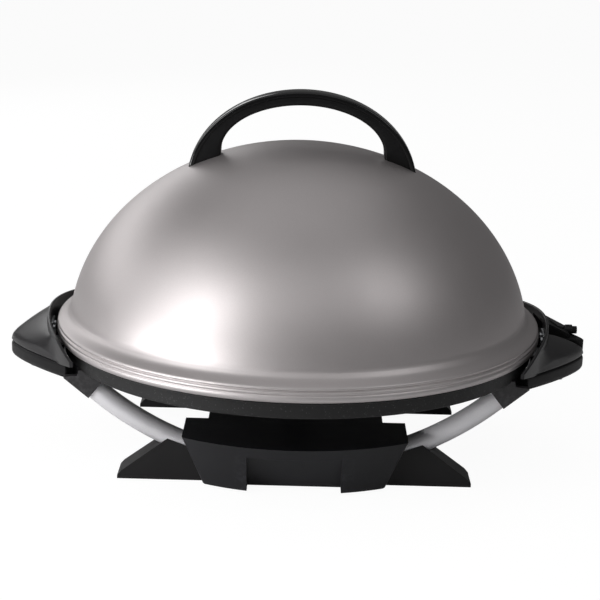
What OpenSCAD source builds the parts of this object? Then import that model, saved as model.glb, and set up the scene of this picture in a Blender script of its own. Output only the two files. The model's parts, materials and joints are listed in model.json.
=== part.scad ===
// Electric indoor grill with a lift-off domed lid.
// Millimetres. +Z up, +X to the right, the front faces -Y.
// Origin: on the table, under the centre of the round lid.

/* [Lid] */
// Height of the lid's lower edge above the table
rim_z = 118; // [116:1:122]
// Outer radius of the beaded rim
lid_r = 234.2; // [233:0.1:235]
// Radius of the dome's ellipse
dome_r = 223; // [221:0.5:224]
// Height of the dome's ellipse
dome_h = 186.5; // [170:0.5:195]
// Thickness of the lid's sheet
lid_t = 1.2; // [1.2:0.1:2]

/* [Lid handle] */
// Half the outer span of the arch
arch_a = 109.5; // [106:0.5:112]
// Height of the arch's outer ellipse
arch_b = 87.5; // [80:0.5:92]
// Width of the outer cover, front to back
cover_w = 24; // [22:1:28]
// Width of the grip body, front to back
grip_w = 21; // [18:1:21]

/* [Base] */
// Outer radius of the base ring
ring_r = 227; // [226:0.5:228]
// Height of the base ring's visible wall
ring_h = 16; // [14:1:17]
// Radius of the ribbed grilling field
field_r = 200; // [190:1:202]
// Spacing of the ribs
rib_pitch = 15; // [12:1:20]
// Radius of the heating element's loop
element_loop_r = 120; // [110:1:125]

/* [Side handles] */
// Distance from the centre to the tip of a side handle
handle_tip = 282; // [278:1:286]
// Outer radius of the raised collar around the lid
collar_r = 243; // [242:0.5:245]
// Inner radius of the collar
collar_in = 240.3; // [239:0.1:241]

/* [Stand] */
// Distance of each leg tube from the centre plane
tube_y = 102; // [100:1:104]
// Radius of the leg tube's arc
tube_arc = 283; // [280:1:286]
// Outer diameter of the leg tube
tube_d = 20; // [18:1:20]
// Wall of the leg tube
tube_wall = 1.5; // [1:0.1:2]
// Half the span between the feet's outer toes
toe_x = 165; // [162:1:168]

/* [Drip tray] */
// Half the width of the tray at its lip
tray_x = 103; // [100:1:103]
// Height of the tray's lip
tray_z = 52; // [50:1:54]
// Wall of the tray
tray_t = 2.4; // [2:0.1:3]

/* [Temperature control] */
// Offset of the control's centre line towards the back
probe_y = 22; // [22:1:22]
// Height of the terminals and the probe rod
probe_z = 106; // [106:1:106]

/* [Hidden] */
$fn = 96;
eps = 0.01;
zc = rim_z - 4.6;                    // centre height of the dome's ellipse
tube_zc = 39.4 + sqrt(tube_arc * tube_arc - 118 * 118); // centre height of the leg tube's arc
gland_z = 116.3;                     // height of the cord's gland
dial_tilt = 26.565;                  // the dial leans outwards
wall = 3;

// ---------- shared shapes ----------
// half ellipse, from the right end over the top to the left end
function arc_pts(a, b, z0, n = 44) = [for (i = [0:n]) [a * cos(180 * i / n), z0 + b * sin(180 * i / n)]];
// the dome's outer (off = 0) or inner (off = lid_t) profile, from height h0 above the rim to the top
function dome_pts(off, h0, n = 30) =
    let (a = dome_r - off, h = dome_h - off, t0 = asin((rim_z + h0 - zc) / h))
    [for (i = [0:n]) let (t = t0 + (90 - t0) * i / n) [a * cos(t), zc + h * sin(t)]];
module dome_solid(off) rotate_extrude() polygon(concat([[0, rim_z]], [[dome_r - off - 0.05, rim_z]], dome_pts(off, 4)));
module extrude_y(y0, y1) translate([0, y1, 0]) rotate([90, 0, 0]) linear_extrude(y1 - y0) children();
module extrude_x(x0, x1) translate([x0, 0, 0]) rotate([90, 0, 90]) linear_extrude(x1 - x0) children();
module four() { children(); mirror([1, 0, 0]) children(); mirror([0, 1, 0]) children(); mirror([1, 0, 0]) mirror([0, 1, 0]) children(); }
// pan-head screw: shank along +Z from z = 0, head below it, cross recess in the head
module screw(d, len, head_d, head_h) {
    difference() {
        union() {
            cylinder(d = d, h = len, $fn = 32);
            translate([0, 0, -head_h]) cylinder(d = head_d, h = head_h, $fn = 48);
        }
        for (a = [0, 90]) rotate([0, 0, a]) translate([-head_d * 0.3, -head_d * 0.07, -head_h - 1]) cube([head_d * 0.6, head_d * 0.14, 1 + head_h * 0.55]);
    }
}

// ---------- lid ----------
module lid_dome() {
    outer = concat([[226.2, 0], [232.8, 0], [233.7, 1.2], [234.1, 3], [lid_r, 4.8], [233.9, 5.9], [233.4, 6.6], [233.8, 7.4], [lid_r - 0.1, 8.4],
        [233.6, 9.6], [232.6, 10.5], [233.1, 11.4], [233.4, 12.7], [232.7, 14], [230.4, 15.3], [226.6, 16.9], [223.2, 19.2], [221.3, 21.4]]);
    inner = [[219.6, 23.4], [220.1, 20.9], [222.5, 18.1], [226.2, 15.7], [229.8, 14.1], [231.5, 12.6], [231.8, 1.8], [226.2, 1.8]];
    color([0.66, 0.64, 0.64]) difference() {
        rotate_extrude() polygon(concat(
            [for (p = outer) [p[0], rim_z + p[1]]], dome_pts(0, 23),
            [for (i = [0:30]) let (q = dome_pts(lid_t, 26)) q[30 - i]],
            [for (p = inner) [p[0], rim_z + p[1]]]));
        for (s = [-1, 1]) translate([s * 86, 0, rim_z + 140]) cylinder(r = 2.3, h = 60, $fn = 32);
    }
}
module arch_2d(a_out, b_out) {
    difference() {
        polygon(arc_pts(a_out, b_out, rim_z + 145));
        polygon(concat(arc_pts(77.5, 45, rim_z + 174), [[-77.5, rim_z + 100], [77.5, rim_z + 100]]));
    }
}
module lid_handle_cover() {
    color([0.05, 0.05, 0.05]) difference() {
        extrude_y(-cover_w / 2, cover_w / 2) difference() {
            polygon(arc_pts(arch_a, arch_b, rim_z + 145));
            polygon(arc_pts(arch_a - 5, arch_b - 5, rim_z + 145));
            translate([-200, rim_z + 120]) square([400, 25.1]);
        }
        dome_solid(-0.08);
    }
}
module lid_handle_grip() {
    color([0.03, 0.03, 0.03]) difference() {
        extrude_y(-grip_w / 2, grip_w / 2) arch_2d(arch_a - 5.03, arch_b - 5.03);
        dome_solid(-0.08);
        for (s = [-1, 1]) translate([s * 86, 0, rim_z + 150]) cylinder(r = 2.05, h = 34, $fn = 32);
    }
}
module lid_handle_washers() {
    color([0.6, 0.6, 0.6]) for (s = [-1, 1]) difference() {
        intersection() {
            translate([s * 86, 0, 276]) cylinder(r = 8, h = 20, $fn = 48);
            dome_solid(lid_t + 0.08);
        }
        translate([s * 86, 0, 270]) cylinder(r = 2.3, h = 40, $fn = 32);
    }
}
module lid_handle_screws() {
    color([0.75, 0.75, 0.75]) for (s = [-1, 1]) translate([s * 86, 0, 276]) screw(4, 24, 9, 2.8);
}

// ---------- base ----------
pan_under = [[0, 86.5], [168, 86.5], [190, 92.4], [221, 101.6], [226, 102], [ring_r, 103]];
module pan_solid() rotate_extrude() polygon(concat(pan_under, [[ring_r, 115.5], [0, 115.5]]));
bracket_holes = [[204, 82], [191.5, 82]];
module base_pan() {
    color([0.1, 0.1, 0.1]) difference() {
        rotate_extrude() polygon([[17, 86.5], [168, 86.5], [190, 92.4], [221, rim_z - ring_h - 0.4], [226, rim_z - ring_h], [ring_r, rim_z - ring_h + 1],
            [ring_r, 115.3], [228.5, 116], [231, 116.4], [231.2, 117], [230.8, 117.7], [224.8, 117.7], [224.8, 113.2], [217.5, 113.2], [217.5, 110.4], [222.5, 107.6],
            [222.5, 104.6], [190, 95], [168, 89], [17, 89]]);
        // two terminals and the probe rod pass through the wall
        translate([200, probe_y - 12, probe_z]) rotate([0, 90, 0]) cylinder(r = 4.05, h = 40, $fn = 48);
        translate([200, probe_y + 12, probe_z]) rotate([0, 90, 0]) cylinder(r = 4.05, h = 40, $fn = 48);
        translate([200, probe_y, probe_z]) rotate([0, 90, 0]) cylinder(r = 3.6, h = 40, $fn = 48);
        four() for (p = bracket_holes) translate([p[0], p[1], 95]) cylinder(r = 1.65, h = 18, $fn = 24);
        for (a = [45, 135, 225, 315]) rotate([0, 0, a]) translate([150, 0, 80]) cylinder(r = 2.1, h = 14, $fn = 32);
    }
}
bend = 10;
module element_path(r) {
    // the loop, a small bend at each end, then two straight ends
    y0 = probe_y + 12 + bend; x0 = sqrt(pow(element_loop_r + bend, 2) - y0 * y0); a0 = atan2(y0, x0);
    y1 = probe_y - 12 - bend; x1 = sqrt(pow(element_loop_r + bend, 2) - y1 * y1); a1 = atan2(y1, x1);
    translate([0, 0, probe_z]) {
        rotate([0, 0, a0]) rotate_extrude(angle = 360 - a0 + a1) translate([element_loop_r, 0]) circle(r = r, $fn = 32);
        translate([x0, y0, 0]) rotate([0, 0, 180 + a0]) rotate_extrude(angle = 90 - a0) translate([bend, 0]) circle(r = r - 0.2, $fn = 32);
        translate([x1, y1, 0]) rotate([0, 0, 90]) rotate_extrude(angle = 90 + a1) translate([bend, 0]) circle(r = r - 0.2, $fn = 32);
        translate([x0, probe_y + 12, 0]) rotate([0, 90, 0]) cylinder(r = r, h = 198 - x0, $fn = 32);
        translate([x1, probe_y - 12, 0]) rotate([0, 90, 0]) cylinder(r = r, h = 198 - x1, $fn = 32);
    }
}
module grill_plate() {
    color([0.14, 0.14, 0.14]) difference() {
        union() {
            rotate_extrude() polygon([[9, 110.6], [24, 111], [field_r, 116], [207, 117.4], [213, 120.8], [216.5, 121.6], [219.6, 120.8], [221.6, 117.6], [223.8, 117.2],
                [223.8, 113.2], [217, 113.2], [210, 112.4], [field_r, 110.6], [24, 105.5], [12, 105.1], [12, 93], [9, 93]]);
            intersection() {
                difference() {
                    cylinder(r = field_r, h = 200);
                    translate([0, 0, -1]) cylinder(r = 24, h = 202);
                }
                for (i = [-12:12]) translate([i * rib_pitch - 2.5, -field_r, 110.8]) cube([5, 2 * field_r, 7.7]);
            }
            difference() {
                translate([0, 0, 104]) cylinder(r = element_loop_r + 8, h = 6);
                translate([0, 0, 103]) cylinder(r = element_loop_r - 8, h = 8);
            }
            for (a = [45, 135, 225, 315]) rotate([0, 0, a]) translate([150, 0, 89]) cylinder(r = 6, h = 22, $fn = 48);
        }
        element_path(4.03);
        for (a = [45, 135, 225, 315]) rotate([0, 0, a]) translate([150, 0, 80]) cylinder(r = 2.05, h = 25, $fn = 32);
    }
}
module plate_screws() {
    color([0.75, 0.75, 0.75]) for (a = [45, 135, 225, 315]) rotate([0, 0, a]) translate([150, 0, 86.5]) screw(4, 16, 8, 2.4);
}
module heating_element() color([0.35, 0.33, 0.32]) element_path(4);
module terminal_pins() {
    color([0.8, 0.8, 0.78]) for (s = [-12, 12]) translate([198, probe_y + s, probe_z]) rotate([0, 90, 0]) {
        cylinder(r = 2.4, h = 45, $fn = 48);
        translate([0, 0, 45]) cylinder(r1 = 2.4, r2 = 1.2, h = 1.5, $fn = 48);
    }
}
module terminal_bushes() {
    color([0.9, 0.88, 0.84]) for (s = [-12, 12]) translate([208, probe_y + s, probe_z]) rotate([0, 90, 0]) difference() {
        cylinder(r = 4, h = 21, $fn = 48);
        translate([0, 0, -1]) cylinder(r = 2.42, h = 24, $fn = 48);
    }
}
module heat_reflector() {
    color([0.8, 0.8, 0.8]) difference() {
        union() {
            rotate_extrude() polygon([[23, 91], [158, 91], [186, 99.4], [186, 100.4], [158, 92], [23, 92]]);
            for (a = [0:60:300]) rotate([0, 0, a + 20]) translate([90, 0, 89]) cylinder(r = 4, h = 2.5, $fn = 32);
        }
        for (a = [45, 135, 225, 315]) rotate([0, 0, a]) translate([150, 0, 85]) cylinder(r = 7, h = 20, $fn = 48);
    }
}
module drain_spout() {
    color([0.7, 0.7, 0.7]) rotate_extrude() polygon([[13, 64], [14.5, 64], [16.8, 82], [16.8, 89], [21.5, 89], [21.5, 90.5], [16.8, 90.5], [16.8, 97], [15, 97], [15, 82], [13, 66]]);
}

// ---------- side handles ----------
// plan outline of a handle: distance from the centre plane at y
hb = 106;                            // half the length of the lower shell
function tip_t(y) = sqrt(y * y + 64) - 8;
function ox(y) = handle_tip - 0.49 * tip_t(y) - 0.0021 * tip_t(y) * tip_t(y);
function xc(y) = sqrt(collar_r * collar_r - y * y);
function xi(y) = sqrt(collar_in * collar_in - y * y);
function z_bot(y) = 82.5 + 0.095 * abs(y);
function z_mid(y) = 98.3 + 0.08 * abs(y);
function z_low(y) = abs(y) <= hb ? z_mid(y) : z_mid(hb) + (abs(y) - hb) * 0.36;
function z_top(y) = 136.5 - 13.5 * pow(abs(y) / 130, 1.6);
function xo(y) = max(ox(y), xc(y));
hy = [for (i = [-13:13]) sign(i) * (abs(i) <= 9 ? hb * pow(abs(i) / 9, 0.9) : hb + (abs(i) - 9) * 5.25)];
function deck(y) = min(1, max(0, (xo(y) - xc(y)) / 10));
// one loop across the upper shell at y: a nearly straight slope from above the groove to the foot of the collar's edge;
// d shrinks it to make the hollow
function loop(y, d) =
    let (zl = z_low(y) - (d > 0 ? 1 : 0), zt = z_top(y) - d, x0 = xo(y) - d, x1 = xc(y) - (d > 0 ? 1.2 : 0), xin = xi(y) + d * 0.45,
        za = zl + 2.4 + 3.5 * deck(y), zb = zt - 6 * deck(y))
    concat([[xin, y, zl], [max(x0 - 1.8, x1 - 0.3), y, zl], [max(x0 - 1.8, x1 - 0.2), y, zl + 1.4], [x0, y, zl + 2.4]],
        [for (u = [0, 0.17, 0.34, 0.51, 0.68, 0.84, 1]) [x1 + (x0 - x1) * (1 - u), y, za + (zb - za) * u + 10 * u * (1 - u) * deck(y)]],
        [[xin, y, zt]]);
module loft(loops) {
    n = len(loops); m = len(loops[0]);
    polyhedron(points = [for (l = loops) for (p = l) p],
        faces = concat([[for (j = [0:m - 1]) m - 1 - j]], [[for (j = [0:m - 1]) (n - 1) * m + j]],
            [for (i = [0:n - 2]) for (j = [0:m - 1]) let (k = (j + 1) % m) each [[i * m + j, i * m + k, (i + 1) * m + k], [i * m + j, (i + 1) * m + k, (i + 1) * m + j]]]),
        convexity = 6);
}
module handle_upper() {
    loft([for (y = hy) loop(y, 0)]);
}
handle_bosses = [[252, -46], [246, 54]];
module tab_screw_holes() for (a = [-6.3, -2.4]) rotate([0, 0, a]) translate([238, 0, 119]) rotate([0, 90, 0]) cylinder(r = 1.52, h = 8, $fn = 20);
module handle_boss_holes(r, h) {
    for (p = handle_bosses) translate([p[0], p[1], 80]) cylinder(r = r, h = h, $fn = 20);
}
module handle_hollow() {
    difference() {
        loft([for (y = [-72:12:72]) loop(y, 3)]);
        translate([0, 0, 10]) handle_boss_holes(4.5, 60);
    }
}
module plan_2d(d, r_in, half = hb) difference() {
    polygon(concat([[150, -half + d]], [for (i = [-18:18]) let (y = (half - d) * i / 18) [ox(y) - d, y]], [[150, half - d]]));
    circle(r = r_in, $fn = 180);
}
module side_2d(z0, z1) polygon([[-120, z_bot(120) + z0], [0, z_bot(0) + z0], [120, z_bot(120) + z0], [120, z_mid(120) + z1], [0, z_mid(0) + z1], [-120, z_mid(120) + z1]]);
module handle_lower() {
    difference() {
        union() {
            intersection() {
                translate([0, 0, 80]) linear_extrude(40) plan_2d(0, ring_r + 0.6);
                extrude_x(150, 300) side_2d(0, 0);
            }
            // seat of the fixing tab
            translate([0, 0, 97.6]) linear_extrude(5.5) intersection() {
                translate([229, -34]) square([9, 32]);
                difference() { circle(r = 239.6, $fn = 180); circle(r = ring_r + 0.6, $fn = 180); }
            }
        }
        intersection() {
            translate([0, 0, 80]) linear_extrude(40) plan_2d(wall, ring_r + 3.6);
            extrude_x(150, 300) side_2d(wall, -wall);
        }
        intersection() {
            translate([0, 0, 80]) linear_extrude(40) plan_2d(wall, collar_r + 0.5);
            extrude_x(150, 300) side_2d(wall, 10);
        }
        // the ends are open
        intersection() {
            translate([0, 0, 80]) linear_extrude(40) difference() { plan_2d(1.6, ring_r + 2.2, hb + 10); translate([0, -96]) square([400, 192]); }
            extrude_x(150, 300) side_2d(1.6, -1.6);
        }
        for (p = handle_bosses) translate([p[0], p[1], 80]) {
            cylinder(r = 1.7, h = 20, $fn = 24);
            cylinder(r = 3.5, h = z_bot(p[1]) + 1.6 - 80, $fn = 32);
        }
    }
}
// room for the plug-in control in the right handle, seen from above; d makes it larger
module recess_2d(d) {
    difference() {
        polygon([[234 - d, -45 - d * 2.2], [284, -0.5 - d * 1.2], [310, 0.5 - d], [310, 45 + d], [234 - d, 45 + d]]);
        circle(r = collar_r + 0.4 - d, $fn = 180);
    }
}
module control_recess() {
    translate([0, 0, 97]) linear_extrude(60) recess_2d(0);
    translate([224, 2, 97]) cube([30, 40, 30.5]);
}
module left_handle_upper() color([0.09, 0.09, 0.09]) mirror([1, 0, 0]) difference() { handle_upper(); handle_hollow(); handle_boss_holes(1.55, 32); tab_screw_holes(); }
module left_handle_lower() color([0.1, 0.1, 0.1]) mirror([1, 0, 0]) handle_lower();
module right_handle_upper() color([0.09, 0.09, 0.09]) difference() {
    handle_upper();
    difference() { handle_hollow(); translate([0, 0, 80]) linear_extrude(80) recess_2d(2.5); }
    control_recess();
    handle_boss_holes(1.55, 32);
    tab_screw_holes();
}
module right_handle_lower() color([0.1, 0.1, 0.1]) {
    difference() { handle_lower(); control_recess(); }
    // floor of the recess
    translate([0, 0, 94.5]) linear_extrude(2.5) intersection() { recess_2d(2); plan_2d(1, collar_r - 1); }
}
module side_handle_screws() {
    color([0.7, 0.7, 0.7]) for (s = [0, 1]) mirror([s, 0, 0]) for (p = handle_bosses)
        translate([p[0], p[1], z_bot(p[1]) + 1.6]) screw(3, 20, 6.4, 2);
}
// curved plate behind the collar with a foot on the lower shell's seat
module fixing_tab() {
    difference() {
        union() {
            ring_part(238.2, 239.9, 103.1, 124.5);
            ring_part(228.4, 239.9, 103.1, 104.7);
        }
        for (a = [-6.3, -2.4]) rotate([0, 0, a]) translate([230, 0, 119]) rotate([0, 90, 0]) cylinder(r = 1.7, h = 20, $fn = 24);
    }
}
module ring_part(r0, r1, z0, z1) {
    translate([0, 0, z0]) linear_extrude(z1 - z0) intersection() {
        difference() { circle(r = r1, $fn = 180); circle(r = r0, $fn = 180); }
        translate([200, -32]) square([60, 28]);
    }
}
module left_fixing_tab() color([0.5, 0.5, 0.5]) mirror([1, 0, 0]) fixing_tab();
module right_fixing_tab() color([0.5, 0.5, 0.5]) fixing_tab();
module fixing_tab_screws() {
    color([0.8, 0.8, 0.8]) for (s = [0, 1]) mirror([s, 0, 0]) for (a = [-6.3, -2.4])
        rotate([0, 0, a]) translate([238.1, 0, 119]) rotate([0, 90, 0]) screw(3, 5, 5, 1.6);
}

// ---------- stand ----------
module tube_path(r, half) {
    translate([0, -tube_y, tube_zc]) rotate([90, 0, 0]) rotate([0, 0, -90 - half]) rotate_extrude(angle = 2 * half, $fn = 96)
        translate([tube_arc, 0]) circle(r = r, $fn = 48);
}
tube_half = asin(194 / tube_arc);
module leg_tube() {
    difference() {
        tube_path(tube_d / 2, tube_half);
        tube_path(tube_d / 2 - tube_wall, tube_half + 0.5);
        for (s = [-1, 1]) translate([s * 100, -tube_y, 10]) cylinder(r = 2.1, h = 20, $fn = 32);
    }
}
module front_leg_tube() color([0.75, 0.75, 0.76]) leg_tube();
module rear_leg_tube() color([0.75, 0.75, 0.76]) mirror([0, 1, 0]) leg_tube();
module leg_bracket() {
    difference() {
        union() {
            extrude_y(-tube_y - 12, -tube_y - 5) polygon([[191.2, 77.4], [213.8, 96.2], [213.8, 97.6], [201.5, 98.6], [200, 104], [170, 104], [180.4, 90.8]]);
            // behind that plate it stays clear of the handle's end
            extrude_y(-tube_y - 6, -tube_y + 12) polygon([[191.2, 77.4], [206.4, 90], [199.5, 90.6], [199.5, 104], [170, 104], [180.4, 90.8]]);
            // flange under the pan, on the inner side
            translate([186, -tube_y + 11, 93]) cube([21.5, 18, 12]);
        }
        pan_solid();
        tube_path(tube_d / 2 + 0.05, tube_half + 0.05);
        for (p = bracket_holes) translate([p[0], -p[1], 80]) {
            cylinder(r = 1.7, h = 40, $fn = 24);
            cylinder(r = 2.9, h = 14.4, $fn = 32);
        }
    }
}
module front_right_bracket() color([0.12, 0.12, 0.12]) leg_bracket();
module front_left_bracket() color([0.12, 0.12, 0.12]) mirror([1, 0, 0]) leg_bracket();
module rear_right_bracket() color([0.12, 0.12, 0.12]) mirror([0, 1, 0]) leg_bracket();
module rear_left_bracket() color([0.12, 0.12, 0.12]) mirror([1, 0, 0]) mirror([0, 1, 0]) leg_bracket();
module bracket_screws() {
    color([0.7, 0.7, 0.7]) four() for (p = bracket_holes) translate([p[0], p[1], 94.4]) screw(3.2, 13, 5.4, 2);
}
module foot() {
    difference() {
        intersection() {
            extrude_y(-tube_y - 15.3, -tube_y + 15.5) polygon([[toe_x, 0.6], [toe_x, 3.8], [toe_x - 3.6, 8], [118.5, 39.4], [101, 33], [80, 26.4], [62, 21.4], [62, 0.6]]);
            // the front face leans back
            translate([0, -tube_y - 15.3, 0]) rotate([-7.2, 0, 0]) translate([0, 0, -20]) cube([300, 100, 100]);
        }
        tube_path(tube_d / 2 + 0.05, tube_half + 0.05);
        translate([100, -tube_y, -1]) cylinder(r = 2.1, h = 40, $fn = 32);
        translate([100, -tube_y, -1]) cylinder(r = 4.2, h = 11, $fn = 32);
        for (x = [78, 142]) translate([x, -tube_y - 1, -1]) cylinder(r = 8.1, h = 4, $fn = 48);
    }
}
module front_right_foot() color([0.1, 0.1, 0.1]) foot();
module front_left_foot() color([0.1, 0.1, 0.1]) mirror([1, 0, 0]) foot();
module rear_right_foot() color([0.1, 0.1, 0.1]) mirror([0, 1, 0]) foot();
module rear_left_foot() color([0.1, 0.1, 0.1]) mirror([1, 0, 0]) mirror([0, 1, 0]) foot();
module foot_screws() color([0.7, 0.7, 0.7]) four() translate([100, tube_y, 10]) screw(4, 16, 8, 2.4);
module foot_pads() color([0.06, 0.06, 0.06]) four() for (x = [78, 142]) translate([x, tube_y + 1, 0]) cylinder(r = 8, h = 3, $fn = 48);

// ---------- drip tray ----------
// walls lean outwards: d moves every wall inwards
module tray_shell(d, z0) {
    difference() {
        intersection() {
            translate([0, 35, 0]) rotate_extrude($fn = 180) polygon([[0, z0], [186 + (z0 - 3) * 19 / 49 - d, z0], [186 + (60 - 3) * 19 / 49 - d, 60], [0, 60]]);
            extrude_y(-200, 118 - d) polygon([[-84 + d - (z0 - 3) * 0.39, z0], [84 - d + (z0 - 3) * 0.39, z0], [84 - d + 57 * 0.39, 60], [-84 + d - 57 * 0.39, 60]]);
            translate([-200, -200, 0]) cube([400, 400, tray_z]);
        }
        // the rear part is narrower
        for (s = [0, 1]) mirror([s, 0, 0]) translate([82 - d, -88 - d, -1]) cube([60, 300, 100]);
        // behind the front pocket the floor clears the leg tubes
        extrude_y(-119 - d, 300) polygon([[-160, -10], [160, -10], [160, 70.3 + d * 1.1], [tray_x, 46 + d * 1.1], [80, 36.3 + d * 1.1], [42, 27.6 + d], [-42, 27.6 + d], [-80, 36.3 + d * 1.1], [-tray_x, 46 + d * 1.1], [-160, 70.3 + d * 1.1]]);
        // finger pull between the two lobes
        extrude_x(-43 - d * 0.6, 43 + d * 0.6) polygon([[-210, -5], [-130.5 + d, -5], [-131.5 + d, 3], [-158 + d, 41 + d * 0.6], [-210, 41 + d * 0.6]]);
    }
}
module drip_tray() {
    color([0.2, 0.2, 0.22]) difference() {
        tray_shell(0, 3);
        difference() {
            tray_shell(tray_t, 3 + tray_t);
            translate([-200, -200, tray_z - 0.001]) cube([400, 400, 1]);
        }
    }
}

// ---------- temperature control ----------
// the sloping top falls 1 in 2 outwards; the dial's axis is square to it
module dial_place() translate([257.9, probe_y, 121.45]) rotate([0, dial_tilt, 0]) children();
module control_block() {
    extrude_y(5, 39) polygon([[246.5, 98], [268.5, 98], [268.5, 116.15], [249, 125.9], [246.5, 125.9]]);
    translate([229.6, 6, 98.5]) cube([17, 32, 14.8]);
    // lower front part, flush with the handle's outline, and the hump around the cord's gland
    translate([0, 0, 98]) linear_extrude(14.4) control_plan(0);
    translate([262, probe_y, gland_z]) rotate([0, 90, 0]) cylinder(r = 5.2, h = 11, $fn = 48);
}
module control_plan(d) polygon(concat([[250, 1 + d]], [for (y = [1 + d : 3 : 30.5]) [ox(y) - 0.3 - d, y]], [[267.6 - d, 30.8 - d], [250, 30.8 - d]]));
module control_cavities() {
    extrude_y(7, 37) polygon([[248.5, 100], [266.5, 100], [266.5, 112.2], [248.5, 121.2]]);
    for (s = [-12, 12]) translate([220, probe_y + s, probe_z]) rotate([0, 90, 0]) cylinder(r = 3.45, h = 30, $fn = 48);
    translate([220, probe_y, probe_z]) rotate([0, 90, 0]) cylinder(r = 3.05, h = 30, $fn = 48);
    for (s = [-6, 6]) translate([238, probe_y + s, 90]) cylinder(r = 1.25, h = 21, $fn = 24);
    for (s = [-6, 6]) translate([238, probe_y + s, 90]) cylinder(r = 2.3, h = 10.6, $fn = 24);
    translate([0, 0, 100]) linear_extrude(10.4) intersection() { control_plan(2); translate([262, 0]) square([40, 40]); }
    // way of the cord from the hollow up into the gland
    translate([267.8, probe_y - 3, 109]) cube([3, 6, gland_z - 109]);
    translate([267.8, probe_y, gland_z]) rotate([0, 90, 0]) cylinder(r = 3, h = 3, $fn = 48);
    translate([270.4, probe_y, gland_z]) rotate([0, 90, 0]) cylinder(r = 3.85, h = 20, $fn = 48);
    dial_place() {
        translate([0, 0, -2.4]) cylinder(r = 8.5, h = 20, $fn = 72);
        translate([0, 0, -12]) cylinder(r = 2.56, h = 20, $fn = 48);
    }
    translate([262, 33.5, 106]) rotate([0, 90, 0]) cylinder(r = 2.05, h = 10, $fn = 32);
}
module control_housing_upper() {
    color([0.05, 0.05, 0.05]) difference() {
        intersection() { control_block(); translate([200, 0, probe_z]) cube([100, 60, 60]); }
        control_cavities();
    }
}
module control_housing_lower() {
    color([0.05, 0.05, 0.05]) difference() {
        intersection() { control_block(); translate([200, 0, probe_z - 60]) cube([100, 60, 60]); }
        control_cavities();
    }
}
module control_screws() color([0.7, 0.7, 0.7]) for (s = [-6, 6]) translate([238, probe_y + s, 100.6]) screw(2.4, 10, 4.4, 1.8);
module control_contacts() {
    color([0.8, 0.7, 0.4]) for (s = [-12, 12]) translate([230.6, probe_y + s, probe_z]) rotate([0, 90, 0]) difference() {
        cylinder(r = 3.4, h = 16.4, $fn = 48);
        translate([0, 0, -1]) cylinder(r = 2.46, h = 15.6, $fn = 48);
    }
}
module probe_rod() {
    color([0.75, 0.75, 0.75]) translate([165, probe_y, probe_z]) rotate([0, 90, 0]) {
        cylinder(r = 3, h = 84, $fn = 48);
        sphere(r = 3, $fn = 48);
    }
}
module thermostat_block() color([0.5, 0.45, 0.35]) translate([249.2, 13, 100.3]) cube([11, 18, 10]);
module cord_gland() {
    color([0.05, 0.05, 0.05]) translate([270.4, probe_y, gland_z]) rotate([0, 90, 0]) difference() {
        cylinder(r = 3.8, h = 7.4, $fn = 48);
        translate([0, 0, -1]) cylinder(r = 3.1, h = 20, $fn = 48);
    }
}
module indicator_lens() color([0.8, 0.15, 0.1]) translate([266.6, 33.5, 106]) rotate([0, 90, 0]) { cylinder(r = 2, h = 2.4, $fn = 32); translate([0, 0, 2.4]) cylinder(r1 = 2, r2 = 1.3, h = 0.5, $fn = 32); }
module temperature_dial() {
    color([0.1, 0.1, 0.1]) dial_place() difference() {
        union() {
            translate([0, 0, -2.1]) cylinder(r = 8.2, h = 3, $fn = 72);
            translate([0, 0, 0.9]) cylinder(r1 = 8.2, r2 = 7.6, h = 0.7, $fn = 72);
        }
        translate([0, 0, -5]) cylinder(r = 2.5, h = 5.2, $fn = 48);
    }
}
module dial_shaft() color([0.7, 0.7, 0.7]) dial_place() translate([0, 0, -9.5]) cylinder(r = 2.5, h = 9.6, $fn = 48);

lid_dome();
lid_handle_cover();
lid_handle_grip();
lid_handle_washers();
lid_handle_screws();
base_pan();
grill_plate();
plate_screws();
heating_element();
terminal_pins();
terminal_bushes();
heat_reflector();
drain_spout();
left_handle_upper();
left_handle_lower();
right_handle_upper();
right_handle_lower();
side_handle_screws();
left_fixing_tab();
right_fixing_tab();
fixing_tab_screws();
front_leg_tube();
rear_leg_tube();
front_left_bracket();
front_right_bracket();
rear_left_bracket();
rear_right_bracket();
bracket_screws();
front_left_foot();
front_right_foot();
rear_left_foot();
rear_right_foot();
foot_screws();
foot_pads();
drip_tray();
control_housing_upper();
control_housing_lower();
control_screws();
control_contacts();
probe_rod();
thermostat_block();
cord_gland();
indicator_lens();
temperature_dial();
dial_shaft();
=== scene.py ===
import bpy, bmesh, json, math, random
from mathutils import Vector, Matrix


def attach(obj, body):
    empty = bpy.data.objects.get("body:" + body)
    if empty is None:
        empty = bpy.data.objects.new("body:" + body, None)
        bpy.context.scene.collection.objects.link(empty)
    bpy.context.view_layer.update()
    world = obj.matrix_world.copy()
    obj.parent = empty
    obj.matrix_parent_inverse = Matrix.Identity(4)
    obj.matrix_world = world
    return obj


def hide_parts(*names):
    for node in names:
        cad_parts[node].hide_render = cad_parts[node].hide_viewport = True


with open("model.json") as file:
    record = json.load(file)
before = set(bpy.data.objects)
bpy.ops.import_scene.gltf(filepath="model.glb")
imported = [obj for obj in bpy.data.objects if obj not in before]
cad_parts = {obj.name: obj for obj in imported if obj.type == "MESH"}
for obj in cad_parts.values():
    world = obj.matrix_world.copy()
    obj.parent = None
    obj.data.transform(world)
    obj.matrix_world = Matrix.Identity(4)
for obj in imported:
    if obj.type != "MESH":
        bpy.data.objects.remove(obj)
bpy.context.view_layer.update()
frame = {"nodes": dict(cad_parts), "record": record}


S = 0.001
sin, cos, pi, sqrt = math.sin, math.cos, math.pi, math.sqrt
rad, deg = math.radians, math.degrees

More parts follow.
